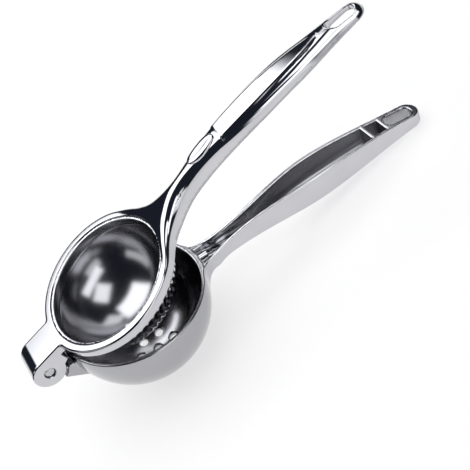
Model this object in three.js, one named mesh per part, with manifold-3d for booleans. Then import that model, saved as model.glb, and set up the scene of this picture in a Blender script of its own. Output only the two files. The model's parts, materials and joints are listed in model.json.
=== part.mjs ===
// Hand citrus press: two die-cast arms joined by one riveted hinge pin.
// Millimetres, +Z up. The arms are drawn about the hinge axis (X towards the handles, Y along the pin)
// in the closed position, then the press arm is opened and the whole press is set down on its bowl
// and the end of its lower handle.

import * as THREE from 'three';
import { mergeVertices } from 'three/addons/utils/BufferGeometryUtils.js';
import Module from 'manifold-3d';

// ---- driving dimensions -------------------------------------------------

const openAngle = 18.4;          // degrees between the arms as it stands
const hingeReach = 11.1;         // hinge axis to the bowl's edge

// hinge
const hingeWidth = 18;           // over both ears
const earThickness = 3.2;
const earRadius = 8.2;
const hoodThickness = 2.2;       // skin over the knuckle
const pinDiameter = 5;
const pinBoreClearance = 0.25;   // pin to each bore, radial
const knuckleGap = 0.35;         // tongue to the ears and hood
const shoulderGap = 0.7;         // ears to the cast shoulder behind them
const pinRecess = 0.3;           // pin ends below the ear faces
const plateDrop = 2.1;           // lower edge of the ear web below the axis
const webGap = 0.5;              // ear web to the bowl's wall
const lugTop = 2.9;              // top of the lug below the axis
const hoodEnd = 200;             // degrees round the pin where the hood over the knuckle ends

// bowl: the ring and dome of the press arm take their sizes from it
const bowlRadius = 37.4;
const headCentre = bowlRadius + hingeReach;   // hinge axis to the centre of bowl and ring
const bowlWall = 2.3;
const bowlDrop = 0.85;           // sphere centre below the hinge axis
const rimGap = 0.5;              // closed ring to rim
const holeDiameter = 4.2;
const holeCircle = 9;            // radius of the ring of drain holes
const holeCount = 6;

// press ring and dome
const ringInset = 1.4;           // ring inside the bowl's edge
const ringBand = 4.4;            // ring's edge to the mouth
const collarGap = 0.9;           // rib tops to the bowl's inside
const ringRadius = bowlRadius - ringInset;
const ringTop = 8.2;             // above the hinge axis
const ringHeight = 5.2;
const ringEdge = 1.2;            // rounding of the ring's outer top edge
const mouthRadius = ringRadius - ringBand;
const mouthFillet = 1.0;
const domeWall = 2.2;
const domeDepth = mouthRadius - 2.6;   // inside, below the ring's top
const ribCount = 54;
const ribHeight = 1.2;
const collarRadius = bowlRadius - bowlWall - collarGap;   // rib tops just under the ring
const collarHeight = 3;

// handles
const armLength = 218.4;         // hinge axis to the handle ends
const wall = 2.0;
const slotLength = 15;
const slotWidth = 7.6;
const slotEnd = 3.8;             // metal left past the slot
const bossLength = 17;
const bossWidth = 8;
const bossHeight = 0.5;
const bossPlace = 121.5;         // hinge axis to the boss centre
const ribPlace = 188;            // cross rib in the lower channel
const ribThickness = 2.4;
const padGap = 7;                // pocket between the cross rib and the end pad

// Handle outlines, drawn through the few places that set them:
// [share of the arm length, value, slope there], joined by cubics
const pressCurves = {
  crest: [                       // ring top, rise, neck, highest point of the palm, end
    [0.33, 8.2, 0], [0.38, 10.9, 0.33], [0.45, 15.6, 0.22], [0.65, 19.7, 0], [1, 11.7, -0.2],
  ],
  low: [                         // ring underside, neck, palm, end
    [0.40, 3, 0], [0.46, 5, 0.18], [0.71, 11.4, 0], [1, 7.2, -0.08],
  ],
  half: [                        // inside the ring, fillet, neck, palm, round end
    [0.27, 28.5, -0.2], [0.36, 20, -1.2], [0.41, 10, -0.5], [0.49, 5.5, 0],
    [0.72, 9.8, 0], [0.78, 9.8, 0], [0.97, 7.2, 0], [1, 7.2, 0],
  ],
};
const bowlCurves = {
  crest: [                       // below the rim, neck, palm, end
    [0.40, 1.9, 0], [0.46, 3.6, 0.2], [0.72, 10.3, 0], [1, 4.9, -0.13],
  ],
  low: [                         // bowl side, neck, palm, end
    [0.352, -17, 0.7], [0.41, -8.2, 0.55], [0.47, -5, 0], [0.65, -4.8, 0], [1, -2, 0.05],
  ],
  half: [                        // bowl side, fillet, neck, palm, round end
    [0.352, 17.5, -1], [0.41, 7.8, -0.4], [0.50, 5.1, 0], [0.71, 8.8, 0], [0.97, 6.1, 0], [1, 6.1, 0],
  ],
};
const crown = 2.4;               // rise of the press handle's top over its width

// ---- helpers --------------------------------------------------------------

const wasm = await Module();
wasm.setup();

const rad = THREE.MathUtils.degToRad;

function solid(geometry) {
  const bare = geometry.clone();
  bare.deleteAttribute('normal');
  bare.deleteAttribute('uv');
  const merged = mergeVertices(bare, 1e-4);
  const body = new wasm.Manifold(new wasm.Mesh({
    numProp: 3,
    vertProperties: new Float32Array(merged.attributes.position.array),
    triVerts: new Uint32Array(merged.index.array),
  }));
  return body;
}

function meshGeometry(body) {
  const mesh = body.getMesh();
  const geometry = new THREE.BufferGeometry();
  geometry.setAttribute('position', new THREE.BufferAttribute(mesh.vertProperties, 3));
  geometry.setIndex(new THREE.BufferAttribute(mesh.triVerts, 1));
  geometry.computeVertexNormals();
  return geometry;
}

// Closed solid through equal loops of points, with a fan over each end loop.
function loft(loops) {
  const n = loops[0].length;
  const points = loops.flat();
  const index = [];
  for (let i = 0; i < loops.length - 1; i += 1) {
    for (let j = 0; j < n; j += 1) {
      const a = i * n + j;
      const b = i * n + (j + 1) % n;
      index.push(a, b, b + n, a, b + n, a + n);
    }
  }
  for (const [row, flip] of [[0, true], [loops.length - 1, false]]) {
    const centre = points.length;
    const sum = new THREE.Vector3();
    for (const p of loops[row]) sum.add(p);
    points.push(sum.divideScalar(n));
    for (let j = 0; j < n; j += 1) {
      const a = row * n + j;
      const b = row * n + (j + 1) % n;
      index.push(...(flip ? [b, a, centre] : [a, b, centre]));
    }
  }
  return closed(points, index);
}

// Solid from points and triangles, turned so that its faces point out.
function closed(points, index) {
  let volume = 0;
  for (let i = 0; i < index.length; i += 3) {
    const [a, b, c] = [points[index[i]], points[index[i + 1]], points[index[i + 2]]];
    volume += a.dot(new THREE.Vector3().crossVectors(b, c));
  }
  if (volume < 0) index.reverse();
  const geometry = new THREE.BufferGeometry().setFromPoints(points);
  geometry.setIndex(index);
  return solid(geometry);
}

// Body of revolution about Z whose radius may change with the angle.
// The profile runs from the top of the axis to the bottom of the axis.
function turned(profile, columns, radiusAt) {
  const rows = profile.length - 2;
  const points = [];
  const index = [];
  for (let i = 1; i <= rows; i += 1) {
    for (let j = 0; j < columns; j += 1) {
      const [r, z] = radiusAt(profile[i], j);
      const t = 2 * Math.PI * j / columns;
      points.push(new THREE.Vector3(r * Math.cos(t), r * Math.sin(t), z));
    }
  }
  for (let i = 0; i < rows - 1; i += 1) {
    for (let j = 0; j < columns; j += 1) {
      const a = i * columns + j;
      const b = i * columns + (j + 1) % columns;
      index.push(a, a + columns, b + columns, a, b + columns, b);
    }
  }
  const top = points.length;
  points.push(new THREE.Vector3(0, 0, profile[0][1]));
  points.push(new THREE.Vector3(0, 0, profile[profile.length - 1][1]));
  for (let j = 0; j < columns; j += 1) {
    const k = (j + 1) % columns;
    const last = (rows - 1) * columns;
    index.push(top, j, k, top + 1, last + k, last + j);
  }
  return closed(points, index);
}

function lathe(profile, segments) {
  const points = profile.map(([r, z]) => new THREE.Vector2(r, z));
  const geometry = new THREE.LatheGeometry(points, segments);
  geometry.rotateX(Math.PI / 2);
  const body = solid(geometry);
  return body.volume() < 0 ? solid(flipped(geometry)) : body;
}

function flipped(geometry) {
  const index = Array.from(geometry.index.array).reverse();
  geometry.setIndex(index);
  return geometry;
}

// Slab of an outline in XZ, centred on Y.
function slabY(outline, width, y = 0) {
  const shape = new THREE.Shape(outline.map(([x, z]) => new THREE.Vector2(x, z)));
  const geometry = new THREE.ExtrudeGeometry(shape, { depth: width, bevelEnabled: false });
  geometry.rotateX(Math.PI / 2);
  geometry.translate(0, y + width / 2, 0);
  return solid(geometry);
}

// Slab of an outline in XY, from low to high.
function slabZ(outline, low, high) {
  const shape = new THREE.Shape(outline.map(([x, y]) => new THREE.Vector2(x, y)));
  const geometry = new THREE.ExtrudeGeometry(shape, { depth: high - low, bevelEnabled: false });
  geometry.translate(0, 0, low);
  return solid(geometry);
}

function arc(cx, cz, r, from, to, steps) {
  const points = [];
  for (let i = 0; i <= steps; i += 1) {
    const t = rad(from + (to - from) * i / steps);
    points.push([cx + r * Math.cos(t), cz + r * Math.sin(t)]);
  }
  return points;
}

function circle(cx, cy, r, steps) {
  return arc(cx, cy, r, 0, 360 - 360 / steps, steps - 1);
}

function stadium(centre, length, width, steps = 8) {
  const r = width / 2;
  const half = length / 2 - r;
  return [
    ...arc(centre + half, 0, r, -90, 90, steps),
    ...arc(centre - half, 0, r, 90, 270, steps),
  ];
}

// Value of an outline curve at x: a cubic between the two places round it, with their slopes.
function along(curve, x) {
  const last = curve.length - 1;
  let i = 0;
  while (i < last - 1 && x > curve[i + 1][0] * armLength) i += 1;
  const [from, start, leave] = curve[i];
  const [to, finish, arrive] = curve[i + 1];
  const span = (to - from) * armLength;
  const t = THREE.MathUtils.clamp((x - from * armLength) / span, 0, 1);
  const t2 = t * t;
  const t3 = t2 * t;
  return (2 * t3 - 3 * t2 + 1) * start + (t3 - 2 * t2 + t) * span * leave
    + (3 * t2 - 2 * t3) * finish + (t3 - t2) * span * arrive;
}

// Half width with the rounded handle end.
function halfWidth(curves, x) {
  const w = along(curves.half, x);
  const r = curves.half.at(-1)[1];
  const past = x - (armLength - r);
  if (past <= 0) return w;
  return w * Math.sqrt(Math.max(1 - (past / r) ** 2, 0.02));
}

function handlePlaces(from) {
  const r = bowlCurves.half.at(-1)[1];
  const xs = [];
  const straight = armLength - r;
  const steps = 24;
  for (let i = 0; i <= steps; i += 1) xs.push(from + (straight - from) * i / steps);
  for (const a of [30, 50, 68, 80]) xs.push(straight + r * Math.sin(rad(a)));
  xs.push(armLength - 0.05);
  return xs;
}

// Section of the press handle: crowned top with chamfered edges, straight sides.
function pressLoop(x, inset, low) {
  const w = Math.max(halfWidth(pressCurves, x) - inset, 0.4);
  const top = along(pressCurves.crest, x) - inset;
  const rise = crown * THREE.MathUtils.clamp((x - headCentre - ringRadius) / 12, 0, 1);
  const loop = [];
  for (const y of [-1, -0.9, -0.55, 0, 0.55, 0.9, 1]) {
    const edge = Math.abs(y) === 1 ? Math.min(0.8, 0.15 * w) : 0;
    loop.push(new THREE.Vector3(x, y * w, top - rise * y * y - edge));
  }
  loop.push(new THREE.Vector3(x, w, low));
  loop.push(new THREE.Vector3(x, -w, low));
  return loop;
}

function bowlLoop(x, inset, low, high) {
  const w = Math.max(halfWidth(bowlCurves, x) - inset, 0.4);
  const r = Math.min(2.2, w * 0.5);
  return [
    new THREE.Vector3(x, -w, high),
    new THREE.Vector3(x, w, high),
    new THREE.Vector3(x, w, low + r),
    new THREE.Vector3(x, w - r * 0.3, low + r * 0.3),
    new THREE.Vector3(x, w - r, low),
    new THREE.Vector3(x, -w + r, low),
    new THREE.Vector3(x, -w + r * 0.3, low + r * 0.3),
    new THREE.Vector3(x, -w, low + r),
  ];
}

// ---- press arm --------------------------------------------------------------

const ringBottom = ringTop - ringHeight;
const rimTop = ringBottom - rimGap;
const cupTop = ringTop - mouthFillet;

// Inner radius of the dome's hollow at a depth below the ring's top.
function hollowProfile(grow, steps) {
  const depth = domeDepth - mouthFillet + grow;
  const r = mouthRadius - mouthFillet + grow;
  const points = [];
  for (let i = 0; i <= steps; i += 1) {
    const t = Math.PI / 2 * i / steps;
    points.push([r * Math.cos(t), cupTop - depth * Math.sin(t)]);
  }
  return points;
}

function makePressHead() {
  const dome = hollowProfile(domeWall, 9).filter(([, z]) => z < ringBottom - collarHeight - 1);
  const profile = [
    [0, ringTop],
    [ringRadius - ringEdge, ringTop],
    [ringRadius - ringEdge * 0.3, ringTop - ringEdge * 0.3],
    [ringRadius, ringTop - ringEdge],
    [ringRadius, ringBottom],
    [collarRadius, ringBottom - 0.01, 1],
    [collarRadius, ringBottom - collarHeight * 0.8, 1],
    [collarRadius - 1.0, ringBottom - collarHeight, 0.7],
    ...dome.map(([r, z]) => [r + ribHeight * 0.8, z, 0.8 * Math.min(r / 20, 1)]),
  ];
  profile[profile.length - 1][0] = 0;
  const ribs = 2 * ribCount;
  const outer = turned(profile, ribs, ([r, z, depth = 0], j) => {
    const cut = j % 2 === 0 ? 0 : depth * ribHeight;
    return [Math.max(r - cut, 0.5), z];
  });
  return outer.translate([headCentre, 0, 0]);
}

function makeHollow() {
  const profile = [
    [0, ringTop + 5],
    [mouthRadius + 0.4, ringTop + 5],
    [mouthRadius + 0.4, ringTop],
    [mouthRadius - mouthFillet * 0.6, ringTop - mouthFillet * 0.5],
    ...hollowProfile(0, 9),
  ];
  profile[profile.length - 1][0] = 0;
  return lathe(profile, 48).translate([headCentre, 0, 0]);
}

// Plate from the ring to the hinge with the rounded barrel end.
function makeHingePlate() {
  const joint = headCentre - mouthRadius + mouthFillet + 3;
  const webEnd = headCentre - bowlRadius - webGap;
  const outline = [
    ...arc(0, 0, earRadius, 90, 338, 20),
    [earRadius + 1.0, -plateDrop],
    [webEnd, -plateDrop],
    [webEnd, ringBottom],
    [joint, ringBottom],
    [joint, ringTop],
  ];
  return slabY(outline, hingeWidth);
}

const tongueWidth = hingeWidth - 2 * earThickness - 2 * knuckleGap;
const knuckleRadius = earRadius - hoodThickness - knuckleGap;

// Slot between the ears: the knuckle's bore and the tongue's swing below and behind it.
function makeForkSlot() {
  const r = knuckleRadius + knuckleGap;
  const far = headCentre - bowlRadius;
  const slotRoof = r * Math.sin(rad(5));
  const outline = [
    ...arc(0, 0, r, 5, hoodEnd, 16),
    [2 * r * Math.cos(rad(hoodEnd)), 2 * r * Math.sin(rad(hoodEnd))],
    [-2 * earRadius, -2 * earRadius],
    [far, -2 * earRadius],
    [far, slotRoof],
    [r * Math.cos(rad(5)), slotRoof],
  ];
  return slabY(outline, hingeWidth - 2 * earThickness);
}

function bore(clearance, width) {
  const r = pinDiameter / 2 + clearance;
  return slabY(circle(0, 0, r, 24), width);
}

function makePressHandle() {
  const from = headCentre + mouthRadius * 0.55;
  const loops = handlePlaces(from).map((x) => pressLoop(x, 0, along(pressCurves.low, x)));
  return loft(loops);
}

function makePressChannel() {
  const from = headCentre + ringRadius + 12;
  const to = armLength - slotEnd - slotLength - wall - 1.5;
  const loops = [];
  for (let i = 0; i <= 14; i += 1) {
    const x = from + (to - from) * i / 14;
    loops.push(pressLoop(x, wall, along(pressCurves.low, x) - 4));
  }
  return loft(loops);
}

function makeBoss() {
  const outline = stadium(bossPlace, bossLength, bossWidth, 6);
  const low = along(pressCurves.crest, bossPlace) - 2.5;
  const high = along(pressCurves.crest, bossPlace) + bossHeight;
  const slope = (along(pressCurves.crest, bossPlace + 4) - along(pressCurves.crest, bossPlace - 4)) / 8;
  const body = slabZ(outline.map(([x, y]) => [x - bossPlace, y]), low - high, 0);
  const turn = THREE.MathUtils.radToDeg(Math.atan(slope));
  return body.rotate([0, -turn, 0]).translate([bossPlace, 0, high]);
}

const slotCentre = armLength - slotEnd - slotLength / 2;

function slotCutter(low, high) {
  return slabZ(stadium(slotCentre, slotLength, slotWidth, 6), low, high);
}

const pressArm = makePressHead()
  .add(makePressHandle())
  .add(makeHingePlate())
  .add(makeBoss())
  .subtract(makeHollow())
  .subtract(makeForkSlot())
  .subtract(makePressChannel())
  .subtract(slotCutter(0, 30))
  .subtract(bore(pinBoreClearance, hingeWidth * 2));

// ---- bowl arm ---------------------------------------------------------------

function spherePoints(radius, from, steps) {
  const points = [];
  for (let i = 0; i <= steps; i += 1) {
    const t = from + (Math.PI / 2 - from) * i / steps;
    points.push([radius * Math.cos(t), -bowlDrop - radius * Math.sin(t)]);
  }
  points[points.length - 1][0] = 0;
  return points;
}

function makeBowlOuter() {
  const top = Math.asin(-(rimTop + bowlDrop - 0.5) / bowlRadius);
  const profile = [[0, rimTop], [bowlRadius - 0.7, rimTop], ...spherePoints(bowlRadius, top, 12)];
  return lathe(profile, 56).translate([headCentre, 0, 0]);
}

function makeBowlInner() {
  const r = bowlRadius - bowlWall;
  const profile = [[0, rimTop + 4], [r + 0.1, rimTop + 4], ...spherePoints(r, 0, 10)];
  return lathe(profile, 48).translate([headCentre, 0, 0]);
}

function makeDrainHoles() {
  let holes = slabZ(circle(headCentre, 0, holeDiameter / 2, 12), -60, -20);
  for (let i = 0; i < holeCount; i += 1) {
    const t = 2 * Math.PI * i / holeCount;
    const x = headCentre + holeCircle * Math.cos(t);
    const y = holeCircle * Math.sin(t);
    holes = holes.add(slabZ(circle(x, y, holeDiameter / 2, 12), -60, -20));
  }
  return holes;
}

// Lug behind the ears, full width, with a concave shoulder round them.
function makeLug() {
  const joint = headCentre - bowlRadius + 5;
  const shoulder = earRadius + shoulderGap;
  const outline = [
    ...arc(0, 0, shoulder, -19, -60, 6),
    [joint, -16],
    [joint, -lugTop],
  ];
  return slabY(outline, hingeWidth);
}

function makeTongue() {
  const outline = [
    ...arc(0, 0, knuckleRadius, 0, 310, 18),
    [earRadius + 2, -lugTop - 5],
    [earRadius + 2, -lugTop],
  ];
  return slabY(outline, tongueWidth);
}

function makeBowlHandle() {
  const from = headCentre + bowlRadius - 7;
  const loops = handlePlaces(from).map((x) => {
    const high = along(bowlCurves.crest, x);
    return bowlLoop(x, 0, along(bowlCurves.low, x), high);
  });
  return loft(loops);
}

// Open channel between two places along the lower handle.
function channel(from, to, floor, inset = wall) {
  const loops = [];
  const steps = Math.max(3, Math.round((to - from) / 8));
  for (let i = 0; i <= steps; i += 1) {
    const x = from + (to - from) * i / steps;
    loops.push(bowlLoop(x, inset, along(bowlCurves.low, x) + floor, 30));
  }
  return loft(loops);
}

const padStart = ribPlace + ribThickness + padGap;

const bowlArm = makeBowlOuter()
  .add(makeBowlHandle())
  .add(makeLug())
  .add(makeTongue())
  .subtract(channel(headCentre + bowlRadius + 1.5, ribPlace, 2.2))
  .subtract(channel(ribPlace + ribThickness, padStart, 1.8))
  .subtract(makeBowlInner())
  .subtract(makeDrainHoles())
  .subtract(slotCutter(-20, 30))
  .subtract(bore(pinBoreClearance, hingeWidth * 2));

// ---- pin --------------------------------------------------------------------

function makePin() {
  const r = pinDiameter / 2;
  const half = hingeWidth / 2 - pinRecess;
  const dome = 0.5;
  const profile = [
    [0, half],
    [r * 0.6, half - dome * 0.3],
    [r, half - dome],
    [r, -half + dome],
    [r * 0.6, -half + dome * 0.3],
    [0, -half],
  ];
  return lathe(profile, 24).rotate([90, 0, 0]);
}

const pin = makePin();

// ---- assembly -----------------------------------------------------------------

const chrome = new THREE.MeshStandardMaterial({ color: 0xd8d8dc, roughness: 0.12, metalness: 1 });
const steel = new THREE.MeshStandardMaterial({ color: 0xc4c4c8, roughness: 0.28, metalness: 1 });

function named(name, body, material) {
  const mesh = new THREE.Mesh(meshGeometry(body), material);
  mesh.name = name;
  return mesh;
}

// Tilt at which the end of the lower handle touches the surface under the bowl.
const reach = armLength - bowlCurves.half.at(-1)[1] * 0.6 - headCentre;
const lift = bowlDrop + bowlCurves.low.at(-1)[1];
const tilt = Math.asin(bowlRadius / Math.hypot(reach, lift)) - Math.atan2(lift, reach);

const pressGroup = new THREE.Group();
pressGroup.rotation.y = -rad(openAngle);
pressGroup.add(named('press_arm', pressArm, chrome));
pressGroup.add(named('hinge_pin', pin, steel));

const press = new THREE.Group();
press.rotation.y = tilt;
press.add(named('bowl_arm', bowlArm, chrome));
press.add(pressGroup);

const group = new THREE.Group();
group.add(press);
group.updateMatrixWorld(true);
const box = new THREE.Box3().setFromObject(group, true);
press.position.set(-(box.min.x + box.max.x) / 2, 0, -box.min.z);
group.updateMatrixWorld(true);

export default group;
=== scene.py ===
# Hand citrus press: two chrome-plated castings on one hinge pin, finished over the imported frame.

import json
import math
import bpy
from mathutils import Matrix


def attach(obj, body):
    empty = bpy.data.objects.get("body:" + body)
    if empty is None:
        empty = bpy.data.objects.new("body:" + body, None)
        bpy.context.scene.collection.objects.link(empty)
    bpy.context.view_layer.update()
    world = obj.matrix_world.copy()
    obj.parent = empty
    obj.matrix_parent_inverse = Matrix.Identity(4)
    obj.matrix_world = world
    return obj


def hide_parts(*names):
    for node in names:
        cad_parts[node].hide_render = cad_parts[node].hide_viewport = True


bl_info = {
    "name": "Hand Citrus Press",
    "version": (1, 0, 0),
    "blender": (4, 5, 0),
    "location": "View3D > Sidebar > Citrus Press",
    "description": "Builds the castings, pin and studio of a hand citrus press",
    "category": "Add Mesh",
}

import bpy
import numpy as np
from mathutils import Matrix

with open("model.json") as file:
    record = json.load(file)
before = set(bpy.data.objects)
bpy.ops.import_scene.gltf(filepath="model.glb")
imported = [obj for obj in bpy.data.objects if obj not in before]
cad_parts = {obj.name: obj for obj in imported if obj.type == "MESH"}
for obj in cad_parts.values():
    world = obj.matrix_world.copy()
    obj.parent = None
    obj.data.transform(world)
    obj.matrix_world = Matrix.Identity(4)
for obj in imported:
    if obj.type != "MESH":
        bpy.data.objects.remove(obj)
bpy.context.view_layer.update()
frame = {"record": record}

# ---- the frame's own values --------------------------------------------------

JOINT = frame["record"]["behaviour"]["joints"][0]
HINGE = np.array(JOINT["pos_m"], float)
OPEN = math.radians(-JOINT["range_deg"][0])
MOUNTS = {mount["name"]: mount for mount in frame["record"]["mounts"]}
RIM_AXIS = MOUNTS["bowl_rim"]["axis"]
TILT = math.atan2(RIM_AXIS[0], RIM_AXIS[2])

# ---- shape of the castings, millimetres from the hinge axis, arms closed ------

HEAD = 48.5
RING_R, RING_TOP, RING_LOW = 36.0, 8.2, 3.0
MOUTH_R, MOUTH_EDGE = 31.6, 1.0
DOME_WALL, DOME_DEPTH = 2.2, 29.0
COLLAR_R, RIBS, RIB_H = 34.2, 54, 1.2
EAR_R, HINGE_W, EAR_T, HOOD = 8.2, 18.0, 3.2, 2.2
KNUCKLE_GAP, SHOULDER_GAP, WEB_GAP = 0.35, 0.7, 0.5
PLATE_DROP, LUG_TOP, HOOD_END = 2.1, 2.9, 200.0
PIN_R, BORE_R = 2.5, 2.75
BOWL_R, BOWL_WALL, BOWL_DROP, RIM_TOP = 37.3, 2.2, 0.85, 2.5
HOLE_R, HOLE_CIRCLE, HOLES = 2.1, 9.0, 6
ARM = 218.4
WALL = 2.0
SLOT_L, SLOT_W, SLOT_END = 15.0, 7.6, 3.8
BOSS_X, BOSS_L, BOSS_W, BOSS_H = 121.5, 17.0, 8.0, 0.9
RIB_X, RIB_T, PAD_GAP = 188.0, 2.4, 7.0
SLOT_X = ARM - SLOT_END - SLOT_L / 2

# handle outlines: share of the arm's length, value and slope at the few places that set them
PRESS_CREST = ((0.33, 8.2, 0), (0.38, 10.9, 0.33), (0.45, 15.6, 0.22), (0.65, 19.7, 0), (1, 11.7, -0.2))
PRESS_UNDER = ((0.40, 3, 0), (0.46, 5, 0.18), (0.71, 11.4, 0), (1, 7.2, -0.08))
PRESS_SIDE = ((0.27, 28.5, -0.2), (0.36, 20, -1.2), (0.41, 10, -0.5), (0.49, 5.5, 0),
              (0.72, 9.8, 0), (0.78, 9.8, 0), (0.97, 7.2, 0), (1, 7.2, 0))
BOWL_CREST = ((0.40, 1.9, 0), (0.46, 3.6, 0.2), (0.72, 10.3, 0), (1, 4.9, -0.13))
BOWL_UNDER = ((0.352, -17, 0.7), (0.41, -8.2, 0.55), (0.47, -5, 0), (0.65, -4.8, 0), (1, -2, 0.05))
BOWL_SIDE = ((0.352, 17.5, -1), (0.41, 7.8, -0.4), (0.50, 5.1, 0), (0.71, 8.8, 0), (0.97, 6.1, 0),
             (1, 6.1, 0))
# rise of the press handle's top over its width, and the raised panel on it
CROWN = 2.4
PANEL_STEP, PANEL_NEAR, PANEL_FAR, PANEL_HALF = 0.42, 132.0, 193.0, 5.6
# corners of the space that each casting's lattice fills
PRESS_SPACE = ((-10, -38, -25), (221, 38, 22))
BOWL_SPACE = ((-8, -40, -41), (221, 40, 13))
MM = 1000.0          # millimetres in a metre


def along(outline, x):
    """Cubic between the two places round x: the Hermite curve of their values and slopes."""
    at, value, slope = np.array(outline, float).T
    at = at * ARM
    i = np.clip(np.searchsorted(at, x) - 1, 0, len(at) - 2)
    h = at[i + 1] - at[i]
    t = np.clip((x - at[i]) / h, 0.0, 1.0)
    return ((2 * t**3 - 3 * t**2 + 1) * value[i] + (t**3 - 2 * t**2 + t) * h * slope[i]
            + (3 * t**2 - 2 * t**3) * value[i + 1] + (t**3 - t**2) * h * slope[i + 1])


class Curve:
    """An outline sampled once every half millimetre, with its slope."""

    def __init__(self, outline):
        self.x = np.arange(40.0, 232.0, 0.5)
        kernel = np.array([1, 4, 6, 4, 1], float) / 16
        self.v = np.convolve(np.pad(along(outline, self.x), 2, mode="edge"), kernel, mode="valid")
        self.s = np.gradient(self.v, self.x)

    def __call__(self, x):
        return np.interp(x, self.x, self.v)

    def slope(self, x):
        return np.interp(x, self.x, self.s)


PRESS_TOP, PRESS_LOW, PRESS_HALF = map(Curve, (PRESS_CREST, PRESS_UNDER, PRESS_SIDE))
BOWL_TOP, BOWL_LOW, BOWL_HALF = map(Curve, (BOWL_CREST, BOWL_UNDER, BOWL_SIDE))


# ---- distance functions -------------------------------------------------------

def join(a, b, k):
    """Blended union: the smaller distance, lowered by k h (1 - h) where both are near."""
    h = np.clip(0.5 + 0.5 * (b - a) / k, 0.0, 1.0)
    return b + (a - b) * h - k * h * (1.0 - h)


def cut(a, b, k):
    """Blended intersection of a and b, rounding their common edge."""
    return -join(-a, -b, k)


def smooth_step(x, low, high):
    """3 t^2 - 2 t^3 with t running from 0 at low to 1 at high."""
    t = np.clip((x - low) / (high - low), 0.0, 1.0)
    return t * t * (3.0 - 2.0 * t)


def ball(x, y, z, r):
    """Distance to a sphere on the head's axis, centred below the hinge axis."""
    return np.sqrt((x - HEAD)**2 + y**2 + (z + BOWL_DROP)**2) - r


def oval(x, y, centre, half, r):
    """Plan distance to a slot shape: a segment along X of half length half, grown by r."""
    return np.hypot(np.maximum(np.abs(x - centre) - half, 0.0), y) - r


def spheroid(rho, z, centre, r, depth):
    """Distance to a spheroid about the head's axis from its first-order expansion."""
    k0 = np.sqrt((rho / r)**2 + ((z - centre) / depth)**2) + 1e-6
    k1 = np.sqrt((rho / r**2)**2 + ((z - centre) / depth**2)**2) + 1e-6
    return k0 * (k0 - 1.0) / k1


def polygon(px, pz, x, z):
    """Signed distance from (x, z) to a closed outline: nearest segment, sign by crossings."""
    best = np.full(x.shape, 1e9, x.dtype)
    inside = np.zeros(x.shape, bool)
    for ax, az, bx, bz in zip(px, pz, np.roll(px, -1), np.roll(pz, -1)):
        ex, ez = bx - ax, bz - az
        wx, wz = x - ax, z - az
        t = np.clip((wx * ex + wz * ez) / (ex * ex + ez * ez + 1e-12), 0.0, 1.0)
        best = np.minimum(best, (wx - t * ex)**2 + (wz - t * ez)**2)
        crosses = ((az > z) != (bz > z)) & (x < ex * (z - az) / (ez + 1e-12) + ax)
        inside ^= crosses
    return np.where(inside, -1.0, 1.0) * np.sqrt(best)


def arc(r, start, end, steps):
    """Points on a circle about the hinge axis from start to end degrees."""
    t = np.radians(np.linspace(start, end, steps))
    return r * np.cos(t), r * np.sin(t)


def lens(x, y):
    """Plan distance to the pointed panel on the handle: half width shrinking to the tip."""
    u = np.clip((x - PANEL_NEAR) / (PANEL_FAR - PANEL_NEAR), 0.0, 1.0)
    belly = 0.86 + 0.14 * np.sin(np.pi * u)
    half = PANEL_HALF * np.sqrt(np.clip(1.0 - u**1.7, 0.0, 1.0)) * belly + 0.02
    side = (np.abs(y) - half) * 0.97
    return np.maximum(side, np.maximum(PANEL_NEAR + 0.4 - x, x - PANEL_FAR - 0.5))


def press_crest(x, y):
    """Top surface of the press arm: crest line, less a crown growing with the cube of the
    distance from the middle (the square at the tip), with a flat panel left standing where the
    rest is a step lower."""
    half = np.maximum(PRESS_HALF(x), 2.0)
    handle = smooth_step(x, HEAD + RING_R - 4.0, HEAD + RING_R + 16.0)
    tip = smooth_step(x, 168.0, 202.0)
    crown = CROWN * handle * (1.0 + 0.35 * tip) * np.minimum(np.abs(y / half), 1.15)**(3.0 - tip)
    panel = smooth_step(-lens(x, y), -1.7, 0.5)
    beside = smooth_step(x, 126.0, 136.0) * (1.0 - smooth_step(x, 186.0, 200.0))
    kept = np.where(panel > 0, 1 - 0.85 * panel, 1.0)
    return PRESS_TOP(x) - kept * crown - PANEL_STEP * beside * (1 - panel)


def press_plan(x, y):
    """Plan outline: ring, handle with a round end, and hinge plate, blended together."""
    ring = np.hypot(x - HEAD, y) - RING_R
    slope = PRESS_HALF.slope(x)
    side = (np.abs(y) - PRESS_HALF(x)) / np.sqrt(1.0 + slope**2)
    r = PRESS_SIDE[-1][1]
    end = np.hypot(x - (ARM - r), y) - r
    handle = np.where(x < ARM - r, side, end)
    handle = np.maximum(handle, HEAD + 22.0 - x)
    plate = np.maximum(np.abs(y) - HINGE_W / 2, np.maximum(-x + 2.0, x - HEAD + 20.0))
    return join(join(ring, handle, 1.6), plate, 2.2)


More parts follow.
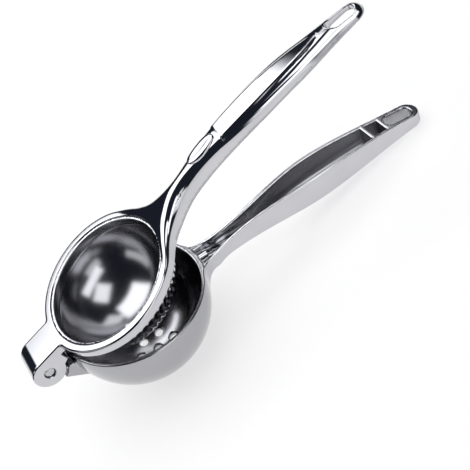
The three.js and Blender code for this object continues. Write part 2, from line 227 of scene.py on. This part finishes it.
def press_shape(x, y, z):
    """The press arm: plan outline between its top and underside, hinge block and dome added,
    then hollow, fork, channel, slot and bore taken away."""
    rho = np.hypot(x - HEAD, y)
    plan = press_plan(x, y)
    top_slope = PRESS_TOP.slope(x)
    top = (z - press_crest(x, y)) / np.sqrt(1.0 + top_slope**2)
    low = PRESS_LOW(x) - z
    root = smooth_step(x, 68.0, 88.0) * (1.0 - smooth_step(x, 100.0, 128.0))
    edge = 1.5 + 1.3 * smooth_step(x, 80.0, 100.0) + 2.6 * smooth_step(x, 160.0, 205.0) + 4.0 * root
    body = cut(cut(plan, top, edge), low, 0.9)

    px, pz = arc(EAR_R, 90.0, 338.0, 40)
    web = HEAD - BOWL_R - WEB_GAP
    px = np.append(px, [EAR_R + 1.4, web, web, HEAD - MOUTH_R + 4, HEAD - MOUTH_R + 4])
    pz = np.append(pz, [-PLATE_DROP, -PLATE_DROP, RING_LOW, RING_LOW, RING_TOP])
    block = cut(polygon(px, pz, x, z), np.abs(y) - HINGE_W / 2, 1.1)
    body = np.minimum(body, block)

    dome = spheroid(rho, z, RING_TOP - MOUTH_EDGE, MOUTH_R - MOUTH_EDGE + DOME_WALL - 0.7,
                    DOME_DEPTH - MOUTH_EDGE + DOME_WALL - 0.7)
    dome = np.maximum(dome, z - RING_LOW - 0.5)
    body = join(body, dome, 0.8)

    hollow = spheroid(rho, z, RING_TOP - MOUTH_EDGE, MOUTH_R - MOUTH_EDGE, DOME_DEPTH - MOUTH_EDGE)
    hollow = np.where(z > RING_TOP - MOUTH_EDGE, rho - (MOUTH_R - MOUTH_EDGE), hollow)
    ledge = np.maximum(rho - MOUTH_R - 0.3, RING_TOP - 0.75 - z)
    body = cut(body, -join(hollow, ledge, 0.5), 0.8)

    r = EAR_R - HOOD
    t = math.radians(HOOD_END)
    behind = math.cos(t) * -z + math.sin(t) * x
    fork = np.minimum(np.hypot(x, z) - r, np.maximum(z - r * math.sin(math.radians(5)), behind))
    fork = np.maximum(np.maximum(fork, np.abs(y) - HINGE_W / 2 + EAR_T), x - (HEAD - BOWL_R))
    body = cut(body, -fork, 0.4)

    inner = np.maximum(np.abs(y) - PRESS_HALF(x) + WALL, z - press_crest(x, y) + WALL + 0.6)
    far = SLOT_X - SLOT_L / 2 - WALL - 1.5
    inner = np.maximum(inner, np.maximum(HEAD + RING_R + 12.0 - x, x - far))
    body = cut(body, -inner, 1.0)

    slot = oval(x, y, SLOT_X, (SLOT_L - SLOT_W) / 2, SLOT_W / 2)
    body = cut(body, -slot, 1.3)
    bore = np.hypot(x, z) - BORE_R
    return cut(body, -bore, 0.5)


def bowl_shape(x, y, z):
    """The bowl arm: sphere and handle blended under the rim, lug and tongue added, then the
    bowl, drain holes, channel, pockets, slot and bore taken away."""
    rho = np.hypot(x - HEAD, y)
    outer = ball(x, y, z, BOWL_R)
    slope = BOWL_HALF.slope(x)
    half = np.minimum(BOWL_HALF(x), 6.6 + np.maximum(x - 100.0, 0.0))
    side = (np.abs(y) - half) / np.sqrt(1.0 + np.where(x < 97.0, 0.0, slope)**2)
    r = BOWL_SIDE[-1][1]
    end = np.hypot(x - (ARM - r), y) - r
    side = np.where(x < ARM - r, side, end)
    floor = np.maximum(BOWL_LOW(x), -6.2)
    beam = cut(np.maximum(side, HEAD + 20.0 - x), floor - z, 2.4)
    solid = join(outer, beam, 7.5)

    near_rim = smooth_step(BOWL_R + 0.7 - rho, -0.35, 0.35)
    handle_top = np.minimum(BOWL_TOP(x), 30.0)
    top = handle_top + (RIM_TOP - handle_top) * np.where(x < HEAD + BOWL_R + 12.0, near_rim, 0.0)
    top = np.where(x < HEAD, RIM_TOP, top)
    body = cut(solid, z - top, 0.7)

    px, pz = arc(EAR_R + SHOULDER_GAP, -19.0, -60.0, 14)
    px = np.append(px, [HEAD - BOWL_R + 5, HEAD - BOWL_R + 5])
    pz = np.append(pz, [-16.0, -LUG_TOP])
    lug = cut(polygon(px, pz, x, z), np.abs(y) - HINGE_W / 2, 0.7)
    body = join(body, lug, 0.9)

    px, pz = arc(EAR_R - HOOD - KNUCKLE_GAP, 0.0, 310.0, 44)
    px = np.append(px, [EAR_R + 2, EAR_R + 2])
    pz = np.append(pz, [-LUG_TOP - 5, -LUG_TOP])
    width = HINGE_W / 2 - EAR_T - KNUCKLE_GAP
    tongue = cut(polygon(px, pz, x, z), np.abs(y) - width, 0.5)
    body = join(body, tongue, 0.4)

    inside = np.where(z > -BOWL_DROP, rho - BOWL_R + BOWL_WALL, ball(x, y, z, BOWL_R - BOWL_WALL))
    body = cut(body, -inside, 0.9)

    base = BOWL_LOW(x)
    channel = cut(np.abs(y) - np.minimum(BOWL_HALF(x), 7.0 + np.maximum(x - 100.0, 0.0)) + WALL,
                  np.maximum(base + 2.2, -4.0) - z, 4.5)
    channel = np.maximum(channel, np.maximum(BOWL_R + 1.1 - rho, x - RIB_X))
    channel = np.maximum(channel, HEAD - x)
    body = cut(body, -channel, 1.2)
    pocket = cut(np.abs(y) - BOWL_HALF(x) + WALL, base + 1.8 - z, 1.5)
    pocket = np.maximum(pocket, np.maximum(RIB_X + RIB_T - x, x - RIB_X - RIB_T - PAD_GAP))
    body = cut(body, -pocket, 0.9)

    corner = np.maximum(np.maximum(join(outer, beam, 7.5) + 1.7, BOWL_R + 1.7 - rho),
                        np.maximum(6.6 - np.abs(y), top - 5.5 - z))
    corner = np.maximum(corner, np.maximum(HEAD - x, x - HEAD - BOWL_R - 12.0))
    body = cut(body, -corner, 0.7)

    slot = oval(x, y, SLOT_X, (SLOT_L - SLOT_W) / 2, SLOT_W / 2)
    body = cut(body, -slot, 0.8)
    for k in range(HOLES + 1):
        t = 2.0 * math.pi * k / HOLES
        cx = HEAD + (HOLE_CIRCLE * math.cos(t) if k < HOLES else 0.0)
        cy = HOLE_CIRCLE * math.sin(t) if k < HOLES else 0.0
        hole = np.maximum(np.hypot(x - cx, y - cy) - HOLE_R, z + 20.0)
        body = cut(body, -hole, 0.8)
    bore = np.hypot(x, z) - BORE_R
    return cut(body, -bore, 0.5)


# ---- surfaces ------------------------------------------------------------------

def surface(shape, low, high, pitch):
    """Closed quad surface where shape is 0: one vertex in each lattice cell that the surface
    crosses, at the mean of its edge crossings, and one quad round each lattice edge that it
    crosses. The vertices are then evened out: each goes halfway to the mean of its neighbours
    and back down the gradient onto the surface."""
    axes = [np.arange(a, b + pitch, pitch, dtype=np.float64) for a, b in zip(low, high)]
    nx, ny, nz = (len(a) for a in axes)
    field = np.empty((nx, ny, nz), np.float32)
    for start in range(0, nx, 24):
        part = axes[0][start:start + 24]
        field[start:start + 24] = shape(*np.meshgrid(part, axes[1], axes[2], indexing="ij"))
    inside = field < 0
    count = np.zeros((nx - 1, ny - 1, nz - 1), np.uint8)
    for i, j, k in np.ndindex(2, 2, 2):
        count += inside[i:nx - 1 + i, j:ny - 1 + j, k:nz - 1 + k]
    mixed = (count > 0) & (count < 8)
    cells = np.argwhere(mixed)
    number = np.full(mixed.shape, -1, np.int32)
    number[mixed] = np.arange(len(cells))

    total = np.zeros((len(cells), 3))
    hits = np.zeros(len(cells))
    for axis in range(3):
        for corner in np.ndindex(2, 2, 2):
            if corner[axis]:
                continue
            a = cells + np.array(corner)
            b = a.copy()
            b[:, axis] += 1
            fa = field[tuple(a.T)]
            fb = field[tuple(b.T)]
            crossed = (fa < 0) != (fb < 0)
            t = np.where(crossed, fa / np.where(crossed, fa - fb, 1.0), 0.0)
            point = a.astype(float)
            point[:, axis] += t
            total += np.where(crossed[:, None], point, 0.0)
            hits += crossed
    points = total / hits[:, None] * pitch + np.array([a[0] for a in axes])
    faces = []
    for axis in range(3):
        other = [k for k in range(3) if k != axis]
        a = [slice(1, n - 1) for n in (nx, ny, nz)]
        a[axis] = slice(0, (nx, ny, nz)[axis] - 1)
        b = list(a)
        b[axis] = slice(1, (nx, ny, nz)[axis])
        fa, fb = inside[tuple(a)], inside[tuple(b)]
        edge = np.argwhere(fa != fb)
        goes_in = fb[tuple(edge.T)]
        edge = edge + np.array([0 if k == axis else 1 for k in range(3)])
        ring = []
        for du, dv in ((0, 0), (1, 0), (1, 1), (0, 1)):
            cell = edge.copy()
            cell[:, other[0]] -= du
            cell[:, other[1]] -= dv
            ring.append(number[tuple(cell.T)])
        quad = np.stack(ring, 1)
        flip = goes_in if axis != 1 else ~goes_in
        quad[flip] = quad[flip][:, ::-1]
        faces.append(quad)
    faces = np.concatenate(faces)

    ends = np.concatenate([faces[:, [0, 1]], faces[:, [1, 2]], faces[:, [2, 3]], faces[:, [3, 0]]])
    links = np.bincount(ends[:, 0], minlength=len(points))[:, None]
    points = settle(shape, points, pitch)
    for _ in range(4):
        sums = [np.bincount(ends[:, 0], points[ends[:, 1], k], len(points)) for k in range(3)]
        mean = np.stack(sums, 1)
        points = settle(shape, 0.5 * points + 0.5 * mean / links, pitch)
    return points, faces, slope_of(shape, points)


def settle(shape, points, pitch):
    """Points moved down the gradient onto the surface, by no more than 0.6 of the pitch."""
    start = points.copy()
    for _ in range(2):
        gradient = slope_of(shape, points)
        length = np.maximum((gradient**2).sum(1), 0.05)
        points = points - (shape(*points.T) / length)[:, None] * gradient
        points = start + np.clip(points - start, -0.6 * pitch, 0.6 * pitch)
    return points


def slope_of(shape, points, step=0.03):
    """Gradient of shape at the points, by central differences."""
    out = np.empty_like(points)
    for axis in range(3):
        move = np.zeros(3)
        move[axis] = step
        out[:, axis] = (shape(*(points + move).T) - shape(*(points - move).T)) / (2 * step)
    return out


def turned_shell(rows, columns):
    """Closed grid about an axis: rows gives (radius, height) arrays per row, with a pole at
    each end; quads between rows, and a fan of triangles at each pole."""
    n = columns
    angle = 2 * np.pi * np.arange(n) / n
    body = [np.stack([r * np.cos(angle), r * np.sin(angle), z + 0 * angle], 1) for r, z in rows[1:-1]]
    points = np.concatenate(body + [[[0, 0, float(np.mean(rows[0][1]))]],
                                    [[0, 0, float(np.mean(rows[-1][1]))]]])
    m = len(rows) - 2
    i, j = np.meshgrid(np.arange(m - 1), np.arange(n), indexing="ij")
    a = (i * n + j).ravel()
    b = (i * n + (j + 1) % n).ravel()
    quads = np.stack([a, a + n, b + n, b], 1)
    k = np.arange(n)
    top = np.stack([np.full(n, m * n), k, (k + 1) % n], 1)
    low = np.stack([np.full(n, m * n + 1), (m - 1) * n + (k + 1) % n, (m - 1) * n + k], 1)
    return points, quads, np.concatenate([top, low])


def swing(vectors, upper):
    """Vectors turned from the closed hinge frame to rest: the upper arm opened, then both tilted."""
    x, y, z = np.asarray(vectors, float).T
    if upper:
        x, z = x * math.cos(OPEN) - z * math.sin(OPEN), x * math.sin(OPEN) + z * math.cos(OPEN)
    x, z = x * math.cos(TILT) + z * math.sin(TILT), -x * math.sin(TILT) + z * math.cos(TILT)
    return np.stack([x, y, z], 1)


def place(points, upper):
    """Hinge-frame millimetres as metres in the frame, at rest."""
    return swing(points, upper) / MM + HINGE


def turn(vectors, upper):
    """Directions at rest, of unit length."""
    out = swing(vectors, upper)
    return out / np.maximum(np.linalg.norm(out, axis=1, keepdims=True), 1e-9)


def make_piece(name, points, faces, normals=None, satin_and_shade=None):
    """Mesh object from arrays, smooth, with its as-cast share as a point attribute: the share sets roughness
    and a darker tint, partly painted shade.
    """
    mesh = bpy.data.meshes.new(name)
    mesh.from_pydata(points.tolist(), [], [f for group in faces for f in group.tolist()])
    mesh.update()
    mesh.polygons.foreach_set("use_smooth", np.ones(len(mesh.polygons), bool))
    if satin_and_shade is not None:
        layer = mesh.attributes.new("satin_and_shade", "FLOAT", "POINT")
        layer.data.foreach_set("value", np.asarray(satin_and_shade, np.float32))
    if normals is not None:
        mesh.normals_split_custom_set_from_vertices(normals.tolist())
    piece = bpy.data.objects.new(name, mesh)
    bpy.context.scene.collection.objects.link(piece)
    return piece


# ---- finishes --------------------------------------------------------------------

# noise scales per metre, and the polish marks' stretch along the arm
HAZE_SCALE, GRAIN_SCALE = 55.0, 900.0
BUFF_STRETCH = (60.0, 2600.0, 2600.0)
DULL_AND_PAINTED_SHADE = 0.64                 # darker tint where the as-cast share is high: partly the as-cast finish, partly painted shade that dims reflections
RELIEF, RELIEF_DEPTH = 0.05, 0.00006


def new_finish(name):
    """Node material holding one Principled shader."""
    material = bpy.data.materials.new(name)
    material.use_nodes = True
    tree = material.node_tree
    tree.nodes.clear()
    out = tree.nodes.new("ShaderNodeOutputMaterial")
    shader = tree.nodes.new("ShaderNodeBsdfPrincipled")
    tree.links.new(shader.outputs[0], out.inputs[0])
    return material, tree, shader


def matt(name, colour):
    """Plain matt finish for the floor and the flags."""
    material, _, shader = new_finish(name)
    shader.inputs["Base Color"].default_value = (*colour, 1.0)
    shader.inputs["Roughness"].default_value = 0.9
    return material


def noise(tree, vector, scale, detail):
    """Noise texture read at vector."""
    node = tree.nodes.new("ShaderNodeTexNoise")
    node.inputs["Scale"].default_value = scale
    node.inputs["Detail"].default_value = detail
    tree.links.new(vector, node.inputs["Vector"])
    return node.outputs["Fac"]


def math_node(tree, operation, a, b=None, c=None):
    """Math node on sockets or plain numbers."""
    node = tree.nodes.new("ShaderNodeMath")
    node.operation = operation
    for socket, value in zip(node.inputs, (a, b, c)):
        if value is None:
            continue
        if isinstance(value, (int, float)):
            socket.default_value = value
        else:
            tree.links.new(value, socket)
    return node.outputs[0]


def chrome(name, tint, gloss, dull):
    """Plated zinc: mirror where polished, softer where as cast, with faint buffing lines,
    slow thickness waviness and a little handling haze. Where as cast the tint is also darker,
    partly its finish and partly painted shade."""
    material, tree, shader = new_finish(name)
    nodes, link = tree.nodes, tree.links.new
    position = nodes.new("ShaderNodeTexCoord").outputs["Object"]
    satin_and_shade = nodes.new("ShaderNodeAttribute")
    satin_and_shade.attribute_name = "satin_and_shade"
    share = satin_and_shade.outputs["Fac"]

    stretch = nodes.new("ShaderNodeMapping")
    stretch.inputs["Scale"].default_value = BUFF_STRETCH
    link(position, stretch.inputs["Vector"])
    haze = noise(tree, position, HAZE_SCALE, 4.0)
    buff = noise(tree, stretch.outputs["Vector"], 1.0, 3.0)
    grain = noise(tree, position, GRAIN_SCALE, 3.0)

    base = math_node(tree, "MULTIPLY_ADD", share, dull - gloss, gloss)
    wear = math_node(tree, "MULTIPLY_ADD", haze, 0.05, -0.02)
    lines = math_node(tree, "MULTIPLY_ADD", buff, 0.03, -0.012)
    rough = math_node(tree, "ADD", math_node(tree, "ADD", base, wear), lines)
    link(math_node(tree, "MAXIMUM", rough, 0.025), shader.inputs["Roughness"])

    # painted shade: the tint darkens where the as-cast share is high, partly the as-cast finish and partly
    # painted shade that dims reflections; the haze adds random tone
    tone_and_painted_shade = nodes.new("ShaderNodeMix")
    tone_and_painted_shade.data_type = "RGBA"
    tone_and_painted_shade.inputs[6].default_value = (*tint, 1.0)
    tone_and_painted_shade.inputs[7].default_value = (*[c * DULL_AND_PAINTED_SHADE for c in tint], 1.0)
    link(math_node(tree, "MULTIPLY_ADD", haze, 0.5, math_node(tree, "MULTIPLY", share, 1.2)), tone_and_painted_shade.inputs[0])
    link(tone_and_painted_shade.outputs[2], shader.inputs["Base Color"])

    cast = math_node(tree, "MULTIPLY", grain, 0.15)
    relief = math_node(tree, "ADD", math_node(tree, "MULTIPLY", cast, math_node(tree, "MINIMUM", share, 0.8)),
                       math_node(tree, "MULTIPLY", haze, 0.6))
    bump = nodes.new("ShaderNodeBump")
    bump.inputs["Strength"].default_value = RELIEF
    bump.inputs["Distance"].default_value = RELIEF_DEPTH
    link(relief, bump.inputs["Height"])
    link(bump.outputs["Normal"], shader.inputs["Normal"])
    shader.inputs["Metallic"].default_value = 1.0
    return material


# ---- settings --------------------------------------------------------------------

class CitrusPressSizes(bpy.types.PropertyGroup):
    """Sizes and colours a user would change."""

    press_pitch: bpy.props.FloatProperty(
        name="Press arm mesh pitch", description="Lattice pitch of the press arm's surface, mm",
        default=0.575, min=0.3, max=3.0)
    bowl_pitch: bpy.props.FloatProperty(
        name="Bowl arm mesh pitch", description="Lattice pitch of the bowl arm's surface, mm",
        default=0.67, min=0.3, max=3.0)
    rib_height: bpy.props.FloatProperty(
        name="Rib height", description="Height of the dome's ribs",
        default=RIB_H / MM, unit="LENGTH", min=0.2 / MM)
    chrome_tint: bpy.props.FloatVectorProperty(
        name="Chrome", description="Colour of the plating", subtype="COLOR",
        default=(0.62, 0.62, 0.65))
    polish: bpy.props.FloatProperty(
        name="Polish", description="Roughness of the polished outside",
        default=0.045, min=0.0, max=1.0, subtype="FACTOR")
    as_cast: bpy.props.FloatProperty(
        name="As cast", description="Roughness of the unpolished inside",
        default=0.165, min=0.0, max=1.0, subtype="FACTOR")
    floor_tone: bpy.props.FloatVectorProperty(
        name="Floor", description="Colour of the floor", subtype="COLOR", default=(0.93, 0.93, 0.93))


def sizes():
    return bpy.context.scene.citrus_press


def plating():
    """The one chrome material, made on first use."""
    found = bpy.data.materials.get("plated_zinc")
    s = sizes()
    return found or chrome("plated_zinc", tuple(s.chrome_tint), s.polish, s.as_cast)


# ---- pieces ----------------------------------------------------------------------

class MakePressArm(bpy.types.Operator):
    """Press arm casting: ring, hollow dome, hinge ears and crowned handle in one surface"""

    bl_idname = "citrus_press.press_arm"
    bl_label = "Press arm"

    def execute(self, context):
        points, quads, slope = surface(press_shape, *PRESS_SPACE, sizes().press_pitch)
        x, y, z = points.T
        rho = np.hypot(x - HEAD, y)
        # as-cast share: the dome's hollow and the handle's underside get the rougher finish and a darker
        # tint, partly painted shade
        hollow = smooth_step(MOUTH_R - 0.4 - rho, 0.0, 0.8) * (z < RING_TOP - 0.3)
        under = ((z < PRESS_LOW(x) - 0.2 + WALL) & (x > HEAD + RING_R)).astype(float) * 0.6
        piece = make_piece("press_casting", place(points, True), [quads], turn(slope, True),
                           np.maximum(hollow, under))
        piece.data.materials.append(plating())
        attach(piece, "upper_arm")
        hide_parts("press_arm")
        return {"FINISHED"}


class MakeDomeRibs(bpy.types.Operator):
    """Ribbed skin of the dome: upright ribs from a toothed collar, fading towards the tip"""

    bl_idname = "citrus_press.dome_ribs"
    bl_label = "Dome ribs"

    def execute(self, context):
        columns = RIBS * 14
        angle = 2 * np.pi * np.arange(columns) / columns
        wave = np.abs(np.cos(RIBS * angle / 2)) ** 0.8
        rib = sizes().rib_height * MM
        radius = MOUTH_R - MOUTH_EDGE + DOME_WALL
        depth = DOME_DEPTH - MOUTH_EDGE + DOME_WALL
        centre = RING_TOP - MOUTH_EDGE
        valley = COLLAR_R - 1.9
        crest = COLLAR_R
        start = math.asin((centre - RING_LOW + 3.3) / depth)
        sunk = 1.1
        rows = [(0.0, centre - depth + sunk)]
        for t in np.linspace(math.pi / 2, 0.22, 20)[1:]:
            r = (radius - sunk) * math.cos(t)
            rows.append((np.full(columns, r), centre - (depth - sunk) * math.sin(t)))
        rows.append((np.full(columns, valley - 0.5), RING_LOW + 0.6))
        collar = [(0.6, 1.0), (0.05, 1.0), (-0.8, 1.0), (-1.6, 0.98), (-2.2, 0.9), (-2.6, 0.75),
                  (-2.9, 0.55)]
        for drop, share in collar:
            rows.append((valley + (crest - valley) * share * wave, RING_LOW + drop))
        for t in np.linspace(start, math.pi / 2, 44)[:-1]:
            r, z = radius * math.cos(t), centre - depth * math.sin(t)
            height = rib * min(r / 16.0, 1.0) * (0.45 + 0.55 * min(1.0, r / 26.0))
            rows.append((np.maximum(r - 0.35 + height * wave, 0.05), z))
        rows.append((0.0, centre - depth))
        points, quads, tips = turned_shell(rows, columns)
        points[:, 0] += HEAD
        piece = make_piece("dome_ribs", place(points, True), [quads, tips],
                           satin_and_shade=np.full(len(points), 0.15))
        piece.data.set_sharp_from_angle(angle=math.radians(50))
        piece.data.materials.append(plating())
        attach(piece, "upper_arm")
        return {"FINISHED"}


class MakeBoss(bpy.types.Operator):
    """Raised oval boss on the neck of the press handle"""

    bl_idname = "citrus_press.handle_boss"
    bl_label = "Handle boss"

    def execute(self, context):
        n = 96
        t = 2 * np.pi * np.arange(n) / n
        ux = np.sign(np.cos(t)) * np.abs(np.cos(t))**0.94
        uy = np.sign(np.sin(t)) * np.abs(np.sin(t))**0.94
        rows = []
        for inset, rise in ((0.0, -1.5), (0.0, 0.1), (0.06, 0.3), (0.2, 0.44), (0.42, 0.5), (1.2, 0.53),
                            (2.4, 0.56)):
            x = BOSS_X + (BOSS_L / 2 - inset) * ux
            y = (BOSS_W / 2 - inset) * uy
            z = press_crest(x, y) + rise * (BOSS_H / 0.5)
            rows.append(np.stack([x, y, z], 1))
        low = rows[0].mean(0)
        top = rows[-1].mean(0)
        top[2] = float(press_crest(np.array([BOSS_X]), np.array([0.0]))[0]) + 0.57
        points = np.concatenate(rows + [[low], [top]])
        m = len(rows)
        i, j = np.meshgrid(np.arange(m - 1), np.arange(n), indexing="ij")
        a = (i * n + j).ravel()
        b = (i * n + (j + 1) % n).ravel()
        quads = np.stack([a, b, b + n, a + n], 1)
        k = np.arange(n)
        rim = (m - 1) * n
        base_fan = np.stack([np.full(n, m * n), (k + 1) % n, k], 1)
        top_fan = np.stack([np.full(n, m * n + 1), rim + k, rim + (k + 1) % n], 1)
        caps = np.concatenate([base_fan, top_fan])
        piece = make_piece("handle_boss", place(points, True), [quads, caps], satin_and_shade=np.zeros(len(points)))
        piece.data.materials.append(plating())
        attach(piece, "upper_arm")
        return {"FINISHED"}


class MakeBowlArm(bpy.types.Operator):
    """Bowl arm casting: drained bowl, hinge tongue and channelled handle in one surface"""

    bl_idname = "citrus_press.bowl_arm"
    bl_label = "Bowl arm"

    def execute(self, context):
        points, quads, slope = surface(bowl_shape, *BOWL_SPACE, sizes().bowl_pitch)
        x, y, z = points.T
        # as-cast share: the bowl's inside and outside and the channel get the rougher finish and a darker
        # tint, partly painted shade
        inside = ball(x, y, z, BOWL_R - BOWL_WALL * 0.5) < 0
        channel = (np.abs(y) < BOWL_HALF(x) - WALL * 0.6) & (z < BOWL_TOP(x) - 0.5) & (z > BOWL_LOW(x) + 1)
        channel &= x > HEAD + BOWL_R
        outside = smooth_step(HEAD + BOWL_R + 8.0 - x, 0.0, 18.0) * 0.7
        cast = 0.3 + 1.6 * smooth_step(x, 98.0, 124.0)     # smoother near the bowl
        satin_and_shade = np.where(inside, 1.0, np.where(channel, cast, outside))
        piece = make_piece("bowl_casting", place(points, False), [quads], turn(slope, False), satin_and_shade)
        piece.data.materials.append(plating())
        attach(piece, "lower_arm")
        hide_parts("bowl_arm")
        return {"FINISHED"}


class MakePin(bpy.types.Operator):
    """Hinge pin with domed, slightly recessed ends"""

    bl_idname = "citrus_press.hinge_pin"
    bl_label = "Hinge pin"

    def execute(self, context):
        columns = 72
        half = HINGE_W / 2 - 0.3
        one = np.ones(columns)
        profile = [(0.0, half)]
        for t in np.radians(np.linspace(6, 84, 14)):
            profile.append((PIN_R * math.sin(t), half - 0.75 * (1 - math.cos(t))))
        profile.append((PIN_R, half - 0.85))
        profile.append((PIN_R, half - 3.5))
        rows = profile + [(r, -h) for r, h in reversed(profile)]
        points, quads, tips = turned_shell([(r * one, h) for r, h in rows], columns)
        points = points[:, [0, 2, 1]] * np.array([1, 1, -1])
        piece = make_piece("pin", place(points, True), [quads, tips], satin_and_shade=np.full(len(points), 0.3))
        piece.data.materials.append(plating())
        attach(piece, "upper_arm")
        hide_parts("hinge_pin")
        return {"FINISHED"}


# ---- studio ----------------------------------------------------------------------

# camera, in the bowl arm's frame: millimetres from the hinge; azimuth from +Y towards +X,
# elevation and roll in degrees
EYE = (28.7, -347.0, 340.4)
LOOK = (13.268, -39.936, -24.332)

# azimuth and elevation of the middle, half width, half height (degrees), brightness
PANELS = (
    (-20.0, 57.0, 23.0, 20.0, 2.7),
    (130.0, 59.0, 16.0, 13.0, 2.1),
    (150.0, 34.0, 27.0, 7.5, 2.3),
    (172.0, 8.0, 16.0, 18.0, 1.1),
    (-95.0, 27.0, 22.0, 6.0, 1.0),
    (35.0, 40.0, 11.0, 13.0, 1.5),
)


# lamp: watts, width, casts shadows
LAMPS = {"overhead": (36.0, 3.2, True), "overhead_fill": (86.0, 3.2, False)}
LAMP_AT = (-0.2, 0.3, 2.2)
# dark cards beside the floor that only reflections see: low x, low y, high x, high y
FLAGS = {"flag_left": (-1.6, -0.2, -0.32, 1.5), "flag_back": (-0.32, 0.34, -0.1, 1.5)}
FLOOR_HALF, FLOOR_Z, FLAG_Z = 4.0, -0.0004, 0.0005


def camera_axes():
    """Right, up and ahead: ahead from azimuth and elevation, right level across it, then rolled."""
    a, e, r = np.radians(LOOK)
    ahead = np.array([math.sin(a) * math.cos(e), math.cos(a) * math.cos(e), math.sin(e)])
    level = np.array([math.cos(a), -math.sin(a), 0.0])
    upright = np.cross(level, ahead)
    right = math.cos(r) * level + math.sin(r) * upright
    return right, np.cross(right, ahead), ahead


def card(name, low, high, z, finish):
    """Flat rectangle facing up."""
    mesh = bpy.data.meshes.new(name)
    corners = [(low[0], low[1], z), (high[0], low[1], z), (high[0], high[1], z), (low[0], high[1], z)]
    mesh.from_pydata(corners, [], [(0, 1, 2, 3)])
    mesh.materials.append(finish)
    item = bpy.data.objects.new(name, mesh)
    bpy.context.scene.collection.objects.link(item)
    return item


def studio_world():
    """Studio surround: a dark room with soft light panels. A panel's brightness is the product
    of two smooth steps on the angles across and up from its middle."""
    world = bpy.data.worlds.new("studio")
    world.use_nodes = True
    tree = world.node_tree
    tree.nodes.clear()
    link = tree.links.new
    out = tree.nodes.new("ShaderNodeOutputWorld")
    back = tree.nodes.new("ShaderNodeBackground")
    coord = tree.nodes.new("ShaderNodeTexCoord").outputs["Generated"]

    def along_axis(axis):
        node = tree.nodes.new("ShaderNodeVectorMath")
        node.operation = "DOT_PRODUCT"
        node.inputs[1].default_value = axis
        link(coord, node.inputs[0])
        return node.outputs["Value"]

    def within(angle, half, soft):
        node = tree.nodes.new("ShaderNodeMapRange")
        node.interpolation_type = "SMOOTHSTEP"
        node.inputs["From Min"].default_value = math.radians(half + soft)
        node.inputs["From Max"].default_value = math.radians(half - soft)
        link(math_node(tree, "ABSOLUTE", angle), node.inputs["Value"])
        return node.outputs[0]

    level = 0.0
    for azimuth, elevation, half_w, half_h, strength in PANELS:
        a, e = math.radians(azimuth), math.radians(elevation)
        centre = (math.sin(a) * math.cos(e), math.cos(a) * math.cos(e), math.sin(e))
        side = (math.cos(a), -math.sin(a), 0.0)
        top = (-math.sin(a) * math.sin(e), -math.cos(a) * math.sin(e), math.cos(e))
        across = math_node(tree, "ARCTAN2", along_axis(side), along_axis(centre))
        up = math_node(tree, "ARCSINE", along_axis(top))
        mask = math_node(tree, "MULTIPLY", within(across, half_w, 3.5), within(up, half_h, 4.0))
        level = math_node(tree, "MULTIPLY_ADD", mask, strength, level)
    link(level, back.inputs["Strength"])
    back.inputs["Color"].default_value = (0.985, 0.985, 1.0, 1.0)
    room = tree.nodes.new("ShaderNodeBackground")
    room.inputs["Color"].default_value = (0.55, 0.68, 1.0, 1.0)
    room.inputs["Strength"].default_value = 0.03
    both = tree.nodes.new("ShaderNodeAddShader")
    link(back.outputs[0], both.inputs[0])
    link(room.outputs[0], both.inputs[1])
    link(both.outputs[0], out.inputs[0])
    bpy.context.scene.world = world


class MakeStudio(bpy.types.Operator):
    """Pale floor, soft light and camera"""

    bl_idname = "citrus_press.studio"
    bl_label = "Studio"

    def execute(self, context):
        camera = bpy.data.cameras.new("camera")
        camera.lens, camera.sensor_width = 78.3, 36.0
        camera.shift_x, camera.shift_y = 0.0477, -0.138
        camera.clip_end = 50.0
        view = bpy.data.objects.new("camera", camera)
        right, up, ahead = turn(camera_axes(), False)
        eye = place([EYE], False)[0]
        rows = [(right[k], up[k], -ahead[k], eye[k]) for k in range(3)]
        view.matrix_world = Matrix(rows + [(0, 0, 0, 1)])
        context.scene.collection.objects.link(view)
        context.scene.camera = view

        paper = matt("floor_paper", sizes().floor_tone)
        card("floor", (-FLOOR_HALF, -FLOOR_HALF), (FLOOR_HALF, FLOOR_HALF), FLOOR_Z, paper)
        studio_world()
        for name, (power, width, shadow) in LAMPS.items():
            lamp = bpy.data.lights.new(name, "AREA")
            lamp.energy, lamp.size, lamp.use_shadow = power, width, shadow
            item = bpy.data.objects.new(name, lamp)
            item.matrix_world = Matrix.Translation(LAMP_AT)
            item.visible_glossy = False
            context.scene.collection.objects.link(item)
        context.scene.world.cycles_visibility.diffuse = False

        for name, (low_x, low_y, high_x, high_y) in FLAGS.items():
            flag = card(name, (low_x, low_y), (high_x, high_y), FLAG_Z, matt(name, (0.02, 0.022, 0.03)))
            flag.visible_camera = flag.visible_diffuse = flag.visible_shadow = False
        context.scene.view_settings.view_transform = "Standard"
        return {"FINISHED"}


class CitrusPressPanel(bpy.types.Panel):
    """Buttons and settings of the citrus press"""

    bl_idname = "VIEW3D_PT_citrus_press"
    bl_label = "Citrus Press"
    bl_space_type = "VIEW_3D"
    bl_region_type = "UI"
    bl_category = "Citrus Press"

    def draw(self, context):
        for prop in CitrusPressSizes.__annotations__:
            self.layout.prop(context.scene.citrus_press, prop)
        for operator in OPERATORS:
            self.layout.operator(operator.bl_idname)


OPERATORS = (MakePressArm, MakeDomeRibs, MakeBoss, MakeBowlArm, MakePin, MakeStudio)
CLASSES = (CitrusPressSizes, *OPERATORS, CitrusPressPanel)


def register():
    for cls in CLASSES:
        bpy.utils.register_class(cls)
    bpy.types.Scene.citrus_press = bpy.props.PointerProperty(type=CitrusPressSizes)


def unregister():
    del bpy.types.Scene.citrus_press
    for cls in reversed(CLASSES):
        bpy.utils.unregister_class(cls)


def main():
    register()
    bpy.ops.citrus_press.press_arm()
    bpy.ops.citrus_press.dome_ribs()
    bpy.ops.citrus_press.handle_boss()
    bpy.ops.citrus_press.bowl_arm()
    bpy.ops.citrus_press.hinge_pin()
    bpy.ops.citrus_press.studio()


if __name__ == "__main__":
    main()
